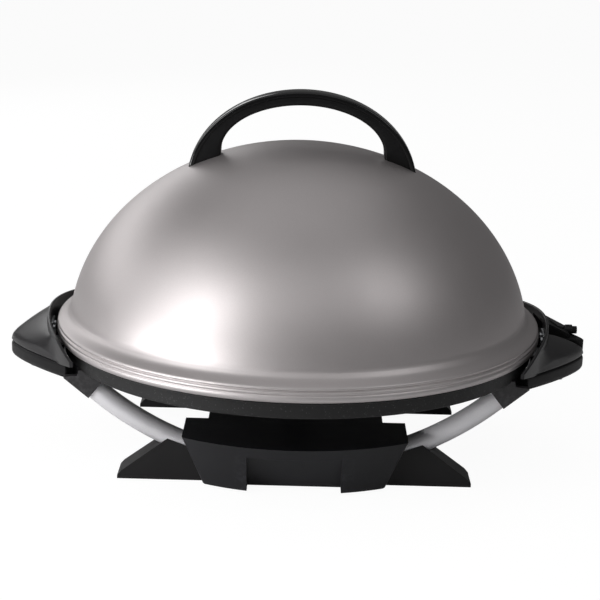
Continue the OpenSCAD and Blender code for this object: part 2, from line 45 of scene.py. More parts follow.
# ------------------------------------------------------------------ design numbers (mm), the same as the CAD's
RIM = 118.0
DOME_R, DOME_H, DOME_ZC = 223.0, 186.5, 113.4
LID_T = 1.2
TUBE_Y, TUBE_ARC, TUBE_R = 102.0, 283.0, 10.0
TUBE_ZC = 39.4 + sqrt(TUBE_ARC ** 2 - 118.0 ** 2)
TIP, COLLAR_R, COLLAR_IN = 282.0, 243.0, 240.3
HB = 106.0                               # half the length of a side handle's lower shell
RING_R = 227.0
PY, PZ = 22.0, 106.0


# ------------------------------------------------------------------ mesh helpers
def finish_mesh(name, verts, faces, mat, body, replaces=(), slot=None, sharp=42, bevel=0.0, segs=3, subsurf=0, weld=True, recalc=True):
    me = bpy.data.meshes.new(name)
    me.from_pydata([(v[0] * S, v[1] * S, v[2] * S) for v in verts], [], faces)
    bm = bmesh.new()
    bm.from_mesh(me)
    if weld:
        bmesh.ops.remove_doubles(bm, verts=bm.verts, dist=2e-6)
        bmesh.ops.dissolve_degenerate(bm, dist=1e-6, edges=bm.edges)
    if recalc:
        bmesh.ops.recalc_face_normals(bm, faces=bm.faces)
    bm.to_mesh(me)
    bm.free()
    return place(name, me, mat, body, replaces, sharp, bevel, segs, subsurf)


def place(name, me, mat, body, replaces=(), sharp=42, bevel=0.0, segs=3, subsurf=0):
    me.materials.clear()
    me.materials.append(mat)
    me.shade_smooth()
    o = bpy.data.objects.new(name, me)
    bpy.context.scene.collection.objects.link(o)
    if subsurf:
        m = o.modifiers.new("Subsurf", "SUBSURF")
        m.levels = m.render_levels = subsurf
    if bevel:
        m = o.modifiers.new("Bevel", "BEVEL")
        m.width = bevel * S
        m.segments = segs
        m.limit_method = "ANGLE"
        m.angle_limit = rad(33)
        m.harden_normals = True
        m.use_clamp_overlap = True
        m = o.modifiers.new("Weighted", "WEIGHTED_NORMAL")
        m.keep_sharp = True
        m.weight = 80
    else:
        me.set_sharp_from_angle(angle=rad(sharp))
    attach(o, body)
    if replaces:
        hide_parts(*replaces)
    return o


def lathe(name, prof, mat, body, seg=256, a0=0.0, a1=360.0, **kw):
    """a closed (r, z) profile turned about Z"""
    full = abs(a1 - a0) >= 360
    n = seg if full else seg + 1
    verts, faces, m = [], [], len(prof)
    for i in range(n):
        a = rad(a0 + (a1 - a0) * i / seg)
        for r, z in prof:
            verts.append((r * cos(a), r * sin(a), z))
    for i in range(seg):
        k = (i + 1) % n
        for j in range(m):
            q = (j + 1) % m
            faces.append((i * m + j, k * m + j, k * m + q, i * m + q))
    if not full:
        faces.append(tuple(range(m)))
        faces.append(tuple((n - 1) * m + j for j in reversed(range(m))))
    return finish_mesh(name, verts, faces, mat, body, **kw)


def loft(name, loops, mat, body, closed=False, caps=True, **kw):
    """skin through a list of closed loops, all with the same number of points"""
    verts = [p for l in loops for p in l]
    n, m, faces = len(loops), len(loops[0]), []
    for i in range(n if closed else n - 1):
        k = (i + 1) % n
        for j in range(m):
            q = (j + 1) % m
            faces.append((i * m + j, k * m + j, k * m + q, i * m + q))
    if caps and not closed:
        faces.append(tuple(range(m)))
        faces.append(tuple((n - 1) * m + j for j in reversed(range(m))))
    return finish_mesh(name, verts, faces, mat, body, **kw)


def rounded(pts, r, n=5):
    """rounds the corners of a closed polygon; r is one radius or one for each corner"""
    out, m = [], len(pts)
    for i, p in enumerate(pts):
        rr = r[i] if isinstance(r, (list, tuple)) else r
        a, b, c = Vector(pts[i - 1]), Vector(p), Vector(pts[(i + 1) % m])
        u, v = (a - b), (c - b)
        lu, lv = u.length, v.length
        if rr <= 0 or lu < 1e-6 or lv < 1e-6:
            out.append(tuple(b))
            continue
        u, v = u / lu, v / lv
        ang = math.acos(max(-1, min(1, u.dot(v))))
        if ang > rad(176):
            out.append(tuple(b))
            continue
        d = min(rr / math.tan(ang / 2), lu * 0.49, lv * 0.49)
        rr = d * math.tan(ang / 2)
        w = (u + v).normalized()
        ctr = b + w * (rr / sin(ang / 2))
        s, e = b + u * d - ctr, b + v * d - ctr
        sweep = pi - ang
        sgn = 1 if s[0] * e[1] - s[1] * e[0] > 0 else -1
        for k in range(n + 1):
            t = sgn * sweep * k / n
            out.append((ctr[0] + s[0] * cos(t) - s[1] * sin(t), ctr[1] + s[0] * sin(t) + s[1] * cos(t)))
    return out


def prism(name, pts, axis, lo, hi, mat, body, bevel=1.0, **kw):
    """a polygon pushed along X, Y or Z, with bevelled edges"""
    def put(p, t):
        return {"X": (t, p[0], p[1]), "Y": (p[0], t, p[1]), "Z": (p[0], p[1], t)}[axis]
    m = len(pts)
    verts = [put(p, lo) for p in pts] + [put(p, hi) for p in pts]
    faces = [tuple(range(m)), tuple(reversed(range(m, 2 * m)))]
    faces += [(j, (j + 1) % m, m + (j + 1) % m, m + j) for j in range(m)]
    return finish_mesh(name, verts, faces, mat, body, bevel=bevel, **kw)


def from_cad(node, name, mat, body, bevel=0.6, segs=2, sharp=35, shape=None):
    """the CAD solid with its edges broken: its own mesh, cleaned and bevelled"""
    src = frame["nodes"][node]
    me = src.data.copy()
    me.name = name
    bm = bmesh.new()
    bm.from_mesh(me)
    bmesh.ops.remove_doubles(bm, verts=bm.verts, dist=2e-6)
    bmesh.ops.dissolve_limit(bm, angle_limit=rad(0.6), verts=bm.verts, edges=bm.edges)
    bmesh.ops.recalc_face_normals(bm, faces=bm.faces)
    if shape:
        shape(bm)
    bm.to_mesh(me)
    bm.free()
    for a in list(me.attributes):
        if a.name in ("custom_normal", "sharp_face", "sharp_edge"):
            me.attributes.remove(a)
    return place(name, me, mat, body, (node,), sharp, bevel, segs)


def round_edges(bm, pick, radius, segs=4):
    """rounds the edges that pick(a, b, angle) takes; a and b are the ends in mm"""
    out = []
    for e in bm.edges:
        if len(e.link_faces) == 2:
            ang = e.calc_face_angle(0.0)
            if ang > rad(20) and pick(e.verts[0].co * 1000, e.verts[1].co * 1000, ang):
                out.append(e)
    bmesh.ops.bevel(bm, geom=out, offset=radius * S, offset_type="OFFSET", segments=segs, affect="EDGES", profile=0.5, clamp_overlap=True)


# ------------------------------------------------------------------ materials
class Nodes:
    def __init__(self, name, base, rough, metal=0.0, spec=0.5, coat=0.0, coat_rough=0.1, sheen=0.0, ior=1.5):
        self.mat = bpy.data.materials.new(name)
        self.mat.use_nodes = True
        self.t = self.mat.node_tree
        self.b = self.t.nodes["Principled BSDF"]
        self.b.inputs["Base Color"].default_value = (*base, 1)
        self.b.inputs["Roughness"].default_value = rough
        self.b.inputs["Metallic"].default_value = metal
        self.b.inputs["Specular IOR Level"].default_value = spec
        self.b.inputs["Coat Weight"].default_value = coat
        self.b.inputs["Coat Roughness"].default_value = coat_rough
        self.b.inputs["IOR"].default_value = ior
        self.normal = None

    def new(self, kind, **vals):
        n = self.t.nodes.new(kind)
        for k, v in vals.items():
            if hasattr(n, k):
                setattr(n, k, v)
        return n

    def link(self, a, b):
        self.t.links.new(a, b)

    def coords(self, scale=(1, 1, 1), rot=(0, 0, 0)):
        c = self.new("ShaderNodeTexCoord")
        m = self.new("ShaderNodeMapping")
        m.inputs["Scale"].default_value = scale
        m.inputs["Rotation"].default_value = rot
        self.link(c.outputs["Object"], m.inputs["Vector"])
        return m.outputs["Vector"]

    def noise(self, scale, detail=3.0, rough=0.5, vec=None, dist=0.0):
        n = self.new("ShaderNodeTexNoise")
        n.inputs["Scale"].default_value = scale
        n.inputs["Detail"].default_value = detail
        n.inputs["Roughness"].default_value = rough
        n.inputs["Distortion"].default_value = dist
        self.link(vec if vec is not None else self.coords(), n.inputs["Vector"])
        return n.outputs["Fac"]

    def voronoi(self, scale, vec=None, out="Distance"):
        n = self.new("ShaderNodeTexVoronoi")
        n.inputs["Scale"].default_value = scale
        self.link(vec if vec is not None else self.coords(), n.inputs["Vector"])
        return n.outputs[out]

    def ramp(self, fac, stops, interp="LINEAR"):
        r = self.new("ShaderNodeValToRGB")
        r.color_ramp.interpolation = interp
        e = r.color_ramp.elements
        while len(e) < len(stops):
            e.new(0.5)
        for k, (pos, col) in zip(e, stops):
            k.position = pos
            k.color = (*col, 1) if isinstance(col, (tuple, list)) else (col, col, col, 1)
        self.link(fac, r.inputs["Fac"])
        return r.outputs["Color"]

    def range(self, fac, lo, hi, f0=0.0, f1=1.0):
        m = self.new("ShaderNodeMapRange")
        m.inputs["From Min"].default_value = f0
        m.inputs["From Max"].default_value = f1
        m.inputs["To Min"].default_value = lo
        m.inputs["To Max"].default_value = hi
        self.link(fac, m.inputs["Value"])
        return m.outputs["Result"]

    def mix(self, fac, a, b, blend="MIX"):
        m = self.new("ShaderNodeMix", data_type="RGBA", blend_type=blend)
        for sock, v in ((m.inputs[0], fac), (m.inputs[6], a), (m.inputs[7], b)):
            if isinstance(v, (int, float)):
                sock.default_value = v
            elif isinstance(v, (tuple, list)):
                sock.default_value = (*v, 1)
            else:
                self.link(v, sock)
        return m.outputs[2]

    def math(self, op, a, b=0.0):
        m = self.new("ShaderNodeMath", operation=op)
        for sock, v in ((m.inputs[0], a), (m.inputs[1], b)):
            if isinstance(v, (int, float)):
                sock.default_value = v
            else:
                self.link(v, sock)
        return m.outputs[0]

    def color(self, c):
        self.link(c, self.b.inputs["Base Color"])

    def rough(self, r):
        self.link(r, self.b.inputs["Roughness"])

    def metal(self, r):
        self.link(r, self.b.inputs["Metallic"])

    def bump(self, height, strength, distance=0.001):
        n = self.new("ShaderNodeBump")
        n.inputs["Strength"].default_value = strength
        n.inputs["Distance"].default_value = distance
        self.link(height, n.inputs["Height"])
        if self.normal is not None:
            self.link(self.normal, n.inputs["Normal"])
        self.normal = n.outputs["Normal"]
        self.link(self.normal, self.b.inputs["Normal"])
        return self

    def edge(self, f0=0.52, f1=0.62):
        """1 on worn convex edges, broken up by noise"""
        g = self.new("ShaderNodeNewGeometry")
        w = self.range(g.outputs["Pointiness"], 0, 1, f0, f1)
        n = self.range(self.noise(220, 4), 0, 1, 0.45, 0.62)
        return self.math("MULTIPLY", w, n)


def tint(base, k):
    return tuple(min(1, c * k) for c in base)


def moulded(name, base, rough, grain=900, grain_bump=0.12, spec=0.5, coat=0.0, edge_k=2.2, coat_rough=0.12):
    """moulded plastic: fine grain, a little unevenness, rubbed edges"""
    m = Nodes(name, base, rough, spec=spec, coat=coat, coat_rough=coat_rough)
    big = m.noise(14, 2)
    fine = m.noise(grain, 2)
    c = m.mix(m.range(big, 0, 1, 0.35, 0.68), tint(base, 0.82), tint(base, 1.2))
    c = m.mix(m.math("MULTIPLY", m.edge(), 0.55), c, tint(base, edge_k))
    m.color(c)
    r = m.range(m.noise(36, 4), rough - 0.05, rough + 0.07)
    m.rough(r)
    m.bump(fine, grain_bump, 0.0004)
    m.bump(big, 0.03, 0.004)
    return m.mat


def make_materials():
    M = {}
    # warm silver lid: metallic paint over pressed sheet
    base = (0.58, 0.545, 0.546)
    m = Nodes("lid_metal", base, 0.46, metal=0.92, coat=0.0, coat_rough=0.3)
    flake = m.voronoi(2600, out="Color")
    sep = m.new("ShaderNodeSeparateColor")
    m.link(flake, sep.inputs[0])
    f = sep.outputs[0]
    cloud = m.noise(9, 3)
    c = m.mix(m.range(cloud, 0, 1, 0.3, 0.7), tint(base, 0.965), tint(base, 1.03))
    c = m.mix(m.range(f, 0, 0.5, 0.0, 1.0), c, tint(base, 1.10))
    m.color(c)
    m.rough(m.range(m.noise(60, 5), 0.44, 0.49))
    m.bump(f, 0.035, 0.0002)
    m.bump(m.noise(420, 3), 0.035, 0.0003)
    M["lid_metal"] = m.mat
    # inside of the lid: plainer, a little dull from heat
    base = (0.52, 0.50, 0.48)
    m = Nodes("lid_inside", base, 0.42, metal=0.9)
    m.color(m.mix(m.range(m.noise(7, 5, 0.65, dist=0.6), 0, 1, 0.42, 0.7), base, (0.40, 0.35, 0.29)))
    m.rough(m.range(m.noise(30, 4), 0.36, 0.52))
    m.bump(m.noise(500, 2), 0.05, 0.0003)
    M["lid_inside"] = m.mat

    # polished black handle
    m = Nodes("handle_gloss", (0.003, 0.003, 0.0033), 0.14, spec=0.45, coat=0.2, coat_rough=0.05)
    m.color(m.mix(m.range(m.noise(60, 4), 0, 1, 0.45, 0.7), (0.0022, 0.0022, 0.0025), (0.0042, 0.0042, 0.0046)))
    m.rough(m.range(m.noise(45, 5, 0.6), 0.10, 0.20))
    m.bump(m.noise(120, 2), 0.02, 0.0006)
    M["handle_gloss"] = m.mat
    m = Nodes("handle_black", (0.003, 0.003, 0.0033), 0.3, spec=0.3)
    m.color(m.mix(m.range(m.noise(50, 4), 0, 1, 0.4, 0.7), (0.0022, 0.0022, 0.0024), (0.0045, 0.0045, 0.005)))
    m.rough(m.range(m.noise(45, 5, 0.6), 0.24, 0.38))
    m.bump(m.noise(900, 2), 0.06, 0.0003)
    M["handle_black"] = m.mat

    # speckled enamel of the ring
    base = (0.006, 0.0058, 0.0062)
    m = Nodes("pan_enamel", base, 0.42, spec=0.42)
    v = m.voronoi(560)
    dots = m.range(v, 1, 0, 0.14, 0.34)
    mask = m.range(m.noise(300, 2), 0, 1, 0.50, 0.55)
    dots = m.math("MULTIPLY", dots, mask)
    c = m.mix(m.range(m.noise(10, 3), 0, 1, 0.35, 0.7), tint(base, 0.8), tint(base, 1.25))
    m.color(m.mix(m.math("MULTIPLY", dots, 0.55), c, (0.10, 0.098, 0.103)))
    m.rough(m.range(m.noise(120, 4), 0.36, 0.52))
    m.bump(m.noise(1400, 2), 0.12, 0.0003)
    m.bump(m.noise(160, 2), 0.05, 0.0008)
    M["pan_enamel"] = m.mat

    # non-stick cast plate
    base = (0.030, 0.029, 0.029)
    m = Nodes("plate_nonstick", base, 0.5, spec=0.45)
    stain = m.range(m.noise(6, 6, 0.7, dist=0.8), 0, 1, 0.5, 0.72)
    c = m.mix(stain, base, (0.045, 0.037, 0.030))
    spk = m.range(m.voronoi(900), 1, 0, 0.05, 0.16)
    c = m.mix(m.math("MULTIPLY", spk, 0.35), c, (0.13, 0.13, 0.13))
    m.color(m.mix(m.math("MULTIPLY", m.edge(0.53, 0.6), 0.4), c, (0.10, 0.095, 0.09)))
    m.rough(m.range(m.noise(80, 5), 0.4, 0.62))
    m.bump(m.noise(1100, 3), 0.25, 0.0004)
    M["plate_nonstick"] = m.mat

    # heat-stained element tube
    m = Nodes("element_steel", (0.16, 0.15, 0.145), 0.5, metal=0.7)
    m.color(m.ramp(m.noise(9, 5, 0.6), [(0.3, (0.08, 0.075, 0.075)), (0.5, (0.17, 0.15, 0.14)), (0.7, (0.26, 0.21, 0.17))]))
    m.rough(m.range(m.noise(90, 4), 0.42, 0.66))
    m.bump(m.noise(700, 3), 0.2, 0.0003)
    M["element_steel"] = m.mat

    def metal(name, base, rough, brushed=0, scale=(1, 1, 1), stain=0.1):
        m = Nodes(name, base, rough, metal=1.0)
        c = m.mix(m.range(m.noise(24, 4), 0, 1, 0.4, 0.7), base, tint(base, 1 - stain))
        m.color(c)
        n = m.noise(brushed or 300, 4, 0.6, m.coords(scale))
        m.rough(m.range(n, rough - 0.07, rough + 0.1))
        m.bump(n, 0.06, 0.0003)
        return m.mat
    M["pin_steel"] = metal("pin_steel", (0.68, 0.68, 0.69), 0.2, 500, (0.1, 1, 1))
    M["zinc_steel"] = metal("zinc_steel", (0.60, 0.61, 0.63), 0.32, 260)
    M["bright_aluminium"] = metal("bright_aluminium", (0.72, 0.72, 0.73), 0.3, 160, (1, 0.08, 1), 0.16)
    M["contact_brass"] = metal("contact_brass", (0.68, 0.50, 0.22), 0.32, 300, stain=0.25)

    m = Nodes("bush_ceramic", (0.80, 0.77, 0.70), 0.62)
    m.color(m.mix(m.range(m.noise(130, 4), 0, 1, 0.4, 0.7), (0.82, 0.80, 0.74), (0.70, 0.66, 0.58)))
    m.rough(m.range(m.noise(200, 3), 0.5, 0.75))
    m.bump(m.noise(1500, 2), 0.2, 0.0003)
    M["bush_ceramic"] = m.mat

    # silver paint on the leg tubes
    base = (0.90, 0.885, 0.92)
    m = Nodes("leg_silver", base, 0.45, metal=0.4, coat=0.1, coat_rough=0.3)
    sep = m.new("ShaderNodeSeparateColor")
    m.link(m.voronoi(2300, out="Color"), sep.inputs[0])
    f = sep.outputs[0]
    c = m.mix(m.range(m.noise(18, 4), 0, 1, 0.35, 0.7), tint(base, 0.94), tint(base, 1.05))
    m.color(m.mix(m.range(f, 0, 0.4), c, tint(base, 1.12)))
    m.rough(m.range(m.noise(90, 4), 0.37, 0.5))
    m.bump(f, 0.05, 0.0002)
    m.bump(m.noise(500, 3), 0.05, 0.0003)
    M["leg_silver"] = m.mat

    # moulded plastics
    M["handle_phenolic"] = moulded("handle_phenolic", (0.0085, 0.0078, 0.0092), 0.30, 1300, 0.06, spec=0.5)
    # lower shells: the same phenolic as the upper shells (same slot). The halved base colour is painted shade; the
    # lower specular and higher roughness are their matte finish
    M["handle_lower"] = moulded("handle_lower", (0.0042, 0.0039, 0.0047), 0.42, 1300, 0.08, spec=0.18)
    M["stand_black"] = moulded("stand_black", (0.0075, 0.0068, 0.0076), 0.42, 1000, 0.12, spec=0.42)
    M["bracket_grey"] = moulded("bracket_grey", (0.030, 0.0285, 0.0305), 0.40, 1000, 0.10, spec=0.5)
    M["control_black"] = moulded("control_black", (0.004, 0.004, 0.0045), 0.45, 1500, 0.2, spec=0.35)
    M["dial_black"] = moulded("dial_black", (0.008, 0.008, 0.0085), 0.4, 900, 0.12, spec=0.4)
    m = Nodes("tray_black", (0.0135, 0.0126, 0.0172), 0.44, spec=0.45)
    base = (0.013, 0.0128, 0.0155)
    c = m.mix(m.range(m.noise(12, 3), 0, 1, 0.35, 0.7), tint(base, 0.85), tint(base, 1.18))
    m.color(m.mix(m.math("MULTIPLY", m.edge(), 0.6), c, tint(base, 2.4)))
    m.rough(m.range(m.noise(40, 4), 0.38, 0.5))
    m.bump(m.noise(1200, 2), 0.12, 0.0003)
    m.bump(m.noise(20, 2), 0.03, 0.004)
    M["tray_black"] = m.mat
    # rubber
    m = Nodes("pad_rubber", (0.01, 0.01, 0.01), 0.78, spec=0.3)
    m.color(m.mix(m.range(m.noise(90, 5), 0, 1, 0.4, 0.7), (0.007, 0.007, 0.007), (0.016, 0.0155, 0.015)))
    m.rough(m.range(m.noise(120, 3), 0.68, 0.88))
    m.bump(m.noise(900, 3), 0.25, 0.0004)
    M["pad_rubber"] = m.mat
    # indicator lens
    m = Nodes("lens_red", (0.42, 0.02, 0.012), 0.12, coat=0.5, coat_rough=0.05)
    m.color(m.mix(m.range(m.noise(300, 2), 0, 1, 0.4, 0.7), (0.40, 0.018, 0.010), (0.52, 0.035, 0.02)))
    m.bump(m.voronoi(900), 0.12, 0.0003)
    M["lens_red"] = m.mat
    # pale print on the dial
    m = Nodes("dial_print", (0.62, 0.62, 0.60), 0.5)
    m.color(m.mix(m.range(m.noise(900, 3), 0, 1, 0.4, 0.7), (0.66, 0.66, 0.64), (0.5, 0.5, 0.49)))
    m.bump(m.noise(1500, 2), 0.1, 0.0002)
    M["dial_print"] = m.mat
    return M


M = make_materials()


# ------------------------------------------------------------------ lid
def dome_z(r, off=0.0):
    return DOME_ZC + (DOME_H - off) * sqrt(max(0.0, 1 - (r / (DOME_R - off)) ** 2))


def build_lid():
    # beaded rim: three rolled beads with narrow grooves, then a cove up to the wall
    outer = [(228.6, 0.3), (229.4, 0.05), (231.6, 0.0), (232.7, 0.45), (233.4, 1.3), (233.9, 2.4), (234.15, 3.6), (234.15, 4.7), (233.9, 5.6), (233.45, 6.2),
             (233.05, 6.55), (233.0, 6.8), (233.35, 7.15), (233.8, 7.7), (234.05, 8.4), (233.95, 9.1), (233.6, 9.7), (233.0, 10.15), (232.45, 10.45), (232.35, 10.7),
             (232.7, 11.05), (233.15, 11.6), (233.35, 12.4), (233.15, 13.2), (232.5, 13.95), (231.4, 14.6), (229.8, 15.4), (228.0, 16.3), (226.2, 17.3), (224.6, 18.4),
             (223.3, 19.6), (222.3, 20.9), (221.5, 22.2)]
    t0 = math.asin((RIM + 23.4 - DOME_ZC) / DOME_H)
    n = 64
    pts = [(r, RIM + z) for r, z in outer]
    pts += [(DOME_R * cos(t0 + (pi / 2 - t0) * i / n), DOME_ZC + DOME_H * sin(t0 + (pi / 2 - t0) * i / n)) for i in range(n + 1)]
    pts[-1] = (0.0, DOME_ZC + DOME_H)
    lathe_open("lid_dome_skin", pts, M["lid_metal"], "lid", 288, flip=False, replaces=("lid_dome",), slot="lid_metal", sharp=60)
    inner = [(228.6, 0.3), (227.2, 0.45), (226.5, 0.95), (226.7, 1.5), (227.6, 1.75), (231.0, 1.85), (231.8, 2.6), (231.9, 12.2), (231.2, 13.1), (229.4, 14.2), (226.0, 15.7), (222.4, 18.1), (220.4, 20.9), (219.9, 22.9)]
    pts = [(r, RIM + z) for r, z in inner]
    a, h = DOME_R - LID_T, DOME_H - LID_T
    t0 = math.asin((RIM + 25 - DOME_ZC) / h)
    pts += [(a * cos(t0 + (pi / 2 - t0) * i / 40), DOME_ZC + h * sin(t0 + (pi / 2 - t0) * i / 40)) for i in range(41)]
    pts[-1] = (0.0, DOME_ZC + h)
    lathe_open("lid_dome_liner", pts, M["lid_inside"], "lid", 192, flip=True, slot="lid_metal", sharp=60)


def lathe_open(name, prof, mat, body, seg, flip, **kw):
    """an (r, z) line turned about Z; a last point on the axis closes the top"""
    verts, faces = [], []
    m = len(prof) - 1
    for i in range(seg):
        a = 2 * pi * i / seg
        for r, z in prof[:-1]:
            verts.append((r * cos(a), r * sin(a), z))
    verts.append((0, 0, prof[-1][1]))
    top = len(verts) - 1
    for i in range(seg):
        k = (i + 1) % seg
        for j in range(m - 1):
            f = (i * m + j, k * m + j, k * m + j + 1, i * m + j + 1)
            faces.append(tuple(reversed(f)) if flip else f)
        f = (i * m + m - 1, k * m + m - 1, top)
        faces.append(tuple(reversed(f)) if flip else f)
    return finish_mesh(name, verts, faces, mat, body, weld=False, recalc=False, **kw)


def build_lid_handle():
    zc = RIM + 145.0

    def outer(t, d):
        """a point of the outer curve, d inside it"""
        a, b = 109.5, 87.5
        x, z = a * cos(t), zc + b * sin(t)
        nx, nz = cos(t) / a, sin(t) / b
        l = sqrt(nx * nx + nz * nz)
        return x - d * nx / l, z - d * nz / l

    # outer strip: flat band with a shallow crown, a fine step along each edge
    half = 12.0
    sec = [(-half, 4.4), (-half - 0.05, 2.0), (-half + 0.25, 1.15), (-half + 0.9, 0.55), (-half + 2.2, 0.28), (-half + 5, 0.1), (0, 0.0), (half - 5, 0.1), (half - 2.2, 0.28), (half - 0.9, 0.55),
           (half - 0.25, 1.15), (half + 0.05, 2.0), (half, 4.4), (half - 0.5, 4.95), (0, 5.0), (-half + 0.5, 4.95)]
    sec = [(max(-half, min(half, y)), d) for y, d in sec]
    t0, t1 = rad(7.6), rad(172.4)
    loops = []
    for i in range(121):
        t = t0 + (t1 - t0) * i / 120
        loops.append([(outer(t, d)[0], y, outer(t, d)[1]) for y, d in sec])
    cut_to_dome(loops, 0.35)
    loft("lid_handle_strip", loops, M["handle_gloss"], "lid", replaces=("lid_handle_cover",), slot="handle_gloss", sharp=38)

    # grip body under it: deep legs that thin out towards the top
    w = 10.4
    loops = []
    N = 120
    for i in range(N + 1):
        u = i / N
        to = rad(7.2 + 165.6 * u)
        ti = rad(-6 + 192 * u)
        ox_, oz_ = outer(to, 4.6)
        if 0 <= ti <= pi:
            ix, iz = 77.5 * cos(ti), RIM + 174 + 45 * sin(ti)
        else:
            k = -ti if ti < 0 else ti - pi
            ix, iz = (77.5 if ti < 0 else -77.5) + (1 if ti < 0 else -1) * k * 6.0, RIM + 174 - k * 60
        d = Vector((ox_ - ix, oz_ - iz))
        L = d.length
        e = d / L
        r = min(3.6, L * 0.3)
        loop = []
        # inner edge is well rounded, outer edge meets the strip in a small shadow step
        for k in range(7):
            q = pi / 2 * k / 6
            loop.append((-w + r - r * sin(q), r - r * cos(q)))
        loop = [(y, s) for y, s in loop]
        loop += [(-w, L * 0.55), (-w + 0.05, L - 0.9), (-w + 1.0, L)]
        right = [(-y, s) for y, s in reversed(loop)]
        full = loop + right
        loops.append([(ix + e[0] * s, y, iz + e[1] * s) for y, s in full])
    cut_to_dome(loops, 0.5)
    loft("lid_handle_body", loops, M["handle_black"], "lid", replaces=("lid_handle_grip",), slot="handle_black", sharp=38)


def cut_to_dome(loops, sink):
    """ends that would go below the dome's skin are laid on it"""
    for l in loops:
        for i, (x, y, z) in enumerate(l):
            zz = dome_z(sqrt(x * x + y * y)) - sink
            if z < zz:
                l[i] = (x, y, zz)


# ------------------------------------------------------------------ base
def build_base():
    # pan and ring, one pressing: bottom, slanted wall, upright ring, rolled flange
    prof = rounded([(17, 86.5), (168, 86.5), (190, 92.4), (219.5, 101.5), (222.5, 101.95), (226.0, 102), (227.0, 103.2), (227.0, 115.2), (228.6, 116.0), (231.0, 116.3), (231.2, 117.2), (230.4, 117.7),
                    (224.8, 117.7), (224.8, 113.2), (217.5, 113.2), (217.5, 110.4), (222.5, 107.6), (222.5, 104.6), (190, 95), (168, 89), (17, 89)],
                   [0.3, 6, 6, 1.5, 1, 1.6, 1.2, 1.0, 0.8, 0.7, 0.5, 0.5, 0.4, 0.4, 0.4, 0.5, 1, 1, 6, 6, 0.3], 4)
    lathe("base_pan_shell", prof, M["pan_enamel"], "base", 288, replaces=("base_pan",), slot="pan_enamel", sharp=50)
    # reflector
    prof = rounded([(23, 91), (158, 91), (186, 99.4), (186.3, 100.2), (158, 92), (23, 92)], [0.2, 8, 0.2, 0.2, 8, 0.2], 4)
    lathe("heat_reflector_dish", prof, M["bright_aluminium"], "base", 160, replaces=("heat_reflector",), slot="bright_aluminium", sharp=40)


def build_plate():
    """ribbed plate: dished field, channel and raised lip; ribs with rounded tops"""
    prof = rounded([(9, 110.6), (24, 111), (198, 115.9), (207, 116.4), (212.5, 119.8), (216.5, 121.6), (219.6, 120.8), (221.6, 117.8), (223.8, 117.2), (223.8, 113.2), (217, 113.2), (210, 112.2), (200, 111), (132, 109.1), (128, 104.2),
                    (112, 104.2), (108, 108.3), (24, 105.5), (12, 105.1), (12, 93), (9, 93)],
                   [1.2, 2, 6, 3, 4, 2, 1.2, 1, 0.6, 0.3, 0.5, 2, 4, 1, 1, 1, 1, 3, 0.5, 0.4, 0.4], 4)
    lathe("grill_plate_body", prof, M["plate_nonstick"], "base", 224, replaces=("grill_plate",), slot="plate_nonstick", sharp=40)
    verts, faces = [], []
    sec = [(-2.5, 0.0), (-2.42, 0.55), (-2.1, 0.85), (-1.4, 1.0), (0, 1.04), (1.4, 1.0), (2.1, 0.85), (2.42, 0.55), (2.5, 0.0)]
    for i in range(-12, 13):
        x = i * 15.0
        ymax = sqrt(199.2 ** 2 - (abs(x) + 2.5) ** 2)
        spans = [(-ymax, ymax)]
        if abs(x) - 2.5 < 24:
            g = sqrt(24.5 ** 2 - max(0, abs(x) - 2.5) ** 2)
            spans = [(-ymax, -g), (g, ymax)]
        for y0, y1 in spans:
            ys = [y0, y0 + 0.5, y0 + 1.4, y0 + 2.6] + [y0 + 2.6 + (y1 - y0 - 5.2) * k / 24 for k in range(1, 24)] + [y1 - 2.6, y1 - 1.4, y1 - 0.5, y1]
            base_i = len(verts)
            for y in ys:
                e = min(y - y0, y1 - y)
                k = 0.0 if e <= 0 else min(1.0, sqrt(max(0, 1 - (1 - min(1, e / 2.6)) ** 2)))
                r = sqrt(x * x + y * y)
                floor = 111 + max(0, r - 24) * 5 / 176 - 0.6
                for sx, sz in sec:
                    top = floor + (118.45 - floor) * (0.35 + 0.65 * k)
                    verts.append((x + sx * (0.86 + 0.14 * k) * (1.06 if sz == 0 else 1), y, floor if sz == 0 else floor + (top - floor) * (sz / 1.04)))
            m = len(sec)
            for j in range(len(ys) - 1):
                for q in range(m - 1):
                    faces.append((base_i + j * m + q, base_i + j * m + q + 1, base_i + (j + 1) * m + q + 1, base_i + (j + 1) * m + q))
            faces.append(tuple(base_i + q for q in reversed(range(m))))
            faces.append(tuple(base_i + (len(ys) - 1) * m + q for q in range(m)))
            for j in range(len(ys) - 1):
                faces.append((base_i + j * m, base_i + (j + 1) * m, base_i + (j + 1) * m + m - 1, base_i + j * m + m - 1))
    finish_mesh("grill_plate_ribs", verts, faces, M["plate_nonstick"], "base", slot="plate_nonstick", sharp=50)


# ------------------------------------------------------------------ side handles
def tip_t(y):
    return sqrt(y * y + 64) - 8


def ox(y):
    t = tip_t(y)
    return TIP - 0.49 * t - 0.0021 * t * t


def circ_x(r, y):
    return sqrt(r * r - y * y)


def z_bot(y):
    return 82.5 + 0.095 * abs(y)


def z_mid(y):
    return 98.3 + 0.08 * abs(y)


def z_low(y):
    return z_mid(y) if abs(y) <= HB else z_mid(HB) + (abs(y) - HB) * 0.2


def z_top(y):
    return 136.5 - 13.5 * (abs(y) / 130) ** 1.6 - 0.2 * max(0.0, abs(y) - 96)


